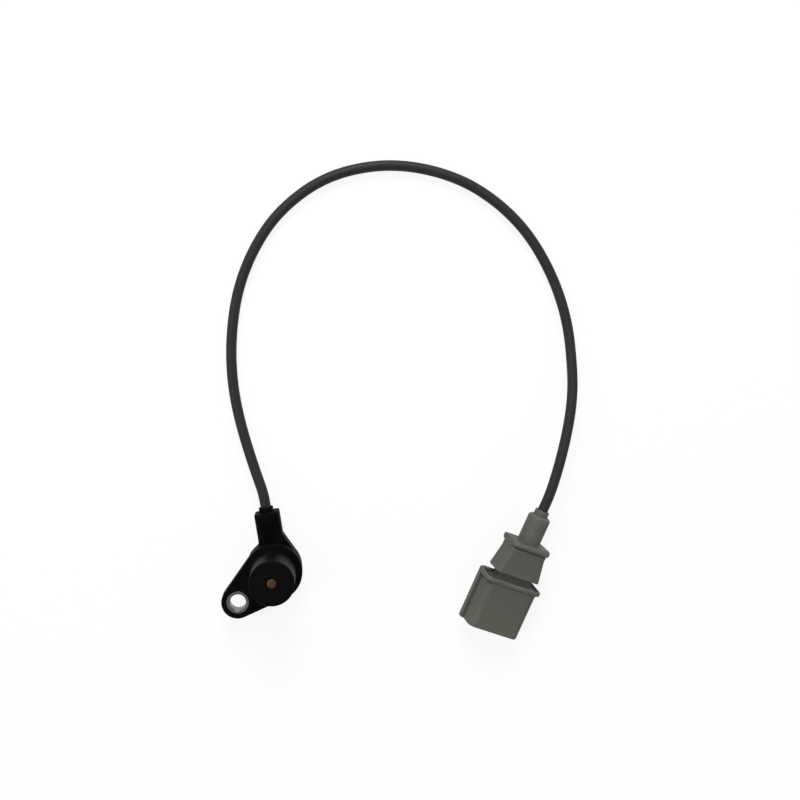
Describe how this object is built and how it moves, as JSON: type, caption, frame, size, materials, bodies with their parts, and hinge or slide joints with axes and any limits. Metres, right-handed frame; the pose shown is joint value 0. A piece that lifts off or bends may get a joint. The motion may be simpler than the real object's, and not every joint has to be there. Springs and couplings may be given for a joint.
{
  "type": "crankshaft position sensor",
  "caption": "Inductive crankshaft sensor: black flanged head with a round sensing nose and a bushed ear, a looped charcoal lead, and a grey shrouded plug with blade contacts.",
  "frame": {"origin": "where the nose's axis meets the flange's seating face", "axes": "+Z along the nose towards its tip, +Y the way the lead leaves the plug, table at z = -13 mm"},
  "size_m": [0.1662, 0.2029, 0.0315],
  "materials": {
    "housing_black": "satin moulded, glass-filled",
    "plug_grey": "fine matt moulded",
    "lead_jacket": "matt extruded",
    "ring_rubber": "matt",
    "bush_metal": "turned",
    "pole_bronze": "dull bronze, turned end",
    "magnet_grey": "ground",
    "spool_plastic": "natural moulded",
    "winding_copper": "enamelled wire",
    "terminal_brass": "stamped",
    "core_white": "extruded insulation",
    "core_blue": "extruded insulation",
    "contact_tin": "tinned",
    "carrier_black": "satin moulded"
  },
  "bodies": {
    "root": {"sensor_housing": "housing_black", "mounting_bush": "bush_metal", "sealing_ring": "ring_rubber", "pole_pin": "pole_bronze", "magnet": "magnet_grey", "coil_spool": "spool_plastic", "coil_winding": "winding_copper", "coil_terminal_1": "terminal_brass", "coil_terminal_2": "terminal_brass", "head_core_1": "core_white", "head_core_2": "core_blue", "lead": "lead_jacket", "plug_body": "plug_grey", "contact_carrier": "carrier_black", "contact_1": "contact_tin", "contact_2": "contact_tin", "contact_3": "contact_tin", "plug_core_1": "core_white", "plug_core_2": "core_blue", "plug_drain": "contact_tin"}
  },
  "joints": []
}
